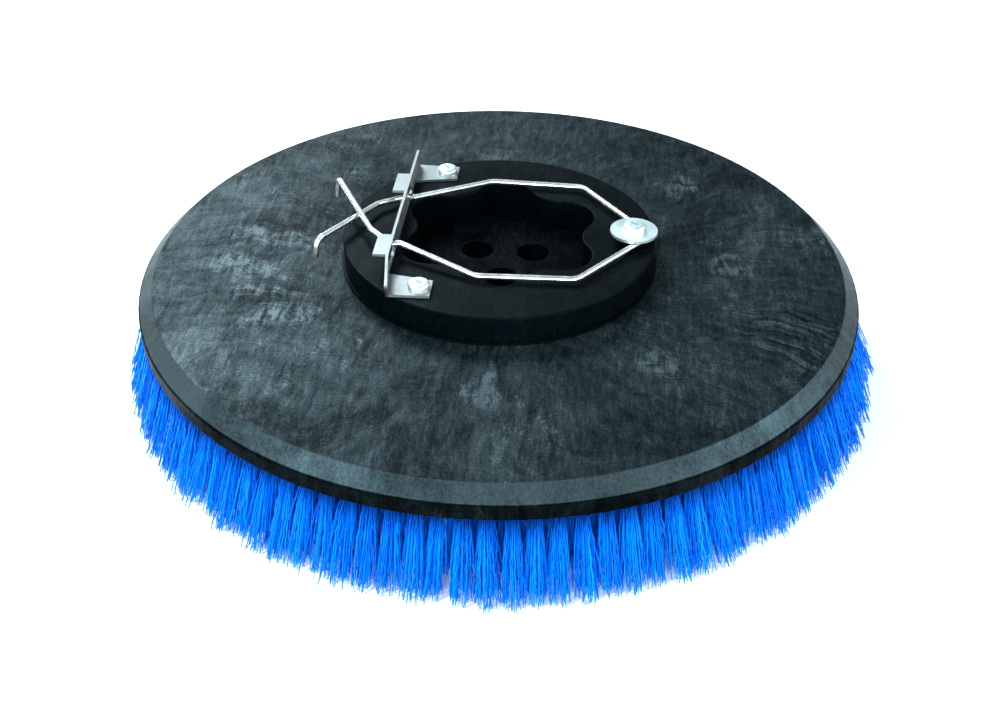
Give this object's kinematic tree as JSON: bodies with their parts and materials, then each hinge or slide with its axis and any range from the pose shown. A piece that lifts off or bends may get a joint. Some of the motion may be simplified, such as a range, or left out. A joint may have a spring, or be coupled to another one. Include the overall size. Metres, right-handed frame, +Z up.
{
  "type": "rotary scrubbing brush head",
  "caption": "Round floor-scrubbing brush with blue bristles, a lobed drive socket and a sprung wire clip that locks it to the machine.",
  "frame": {"origin": "on the floor, at the centre of the brush, under the tips of the bristles", "axes": "+Z up along the brush's axis, +X to the clip's pivot screw, -X to its fingers"},
  "size_m": [0.458, 0.458, 0.0947],
  "materials": {
    "block_plastic": "moulded structural foam, charcoal, swirled",
    "hub_plastic": "satin black",
    "bracket_steel": "rolled stainless sheet",
    "spring_wire": "bright drawn wire",
    "zinc_steel": "bright zinc plate",
    "brass": "turned",
    "bristle_blue": "crimped blue filament"
  },
  "bodies": {
    "brush_head": {"brush_block": "block_plastic", "drive_hub": "hub_plastic", "hub_inserts": "brass", "hub_screws": "zinc_steel", "hub_screw_washers": "zinc_steel", "guide_bracket": "bracket_steel", "bracket_inserts": "brass", "bracket_screws": "zinc_steel", "pivot_insert": "brass", "pivot_bush": "hub_plastic", "pivot_washer": "zinc_steel", "pivot_screw": "zinc_steel", "clip_bend": "spring_wire", "bristle_row_1": "bristle_blue", "bristle_row_2": "bristle_blue", "bristle_row_3": "bristle_blue", "bristle_row_4": "bristle_blue", "bristle_row_5": "bristle_blue", "bristle_row_6": "bristle_blue", "bristle_row_7": "bristle_blue", "bristle_row_8": "bristle_blue"},
    "rear_clip_arm": {"clip_arm_rear": "spring_wire"},
    "front_clip_arm": {"clip_arm_front": "spring_wire"}
  },
  "joints": [
    {"name": "front_arm_opens", "type": "hinge", "parent": "brush_head", "child": "front_clip_arm", "pos_m": [0.08, -0.002, 0.0832], "axis": [0, 0, 1], "range_deg": [0, 4.2], "stiffness_Nm_per_rad": 6, "deforming": ["clip_bend"]},
    {"name": "rear_arm_opens", "type": "hinge", "parent": "brush_head", "child": "rear_clip_arm", "pos_m": [0.08, -0.002, 0.0832], "axis": [0, 0, -1], "range_deg": [0, 4.2], "stiffness_Nm_per_rad": 6, "deforming": ["clip_bend"]}
  ],
  "couplings": [
    {"joint": "rear_arm_opens", "follows": "front_arm_opens", "ratio": 1}
  ]
}
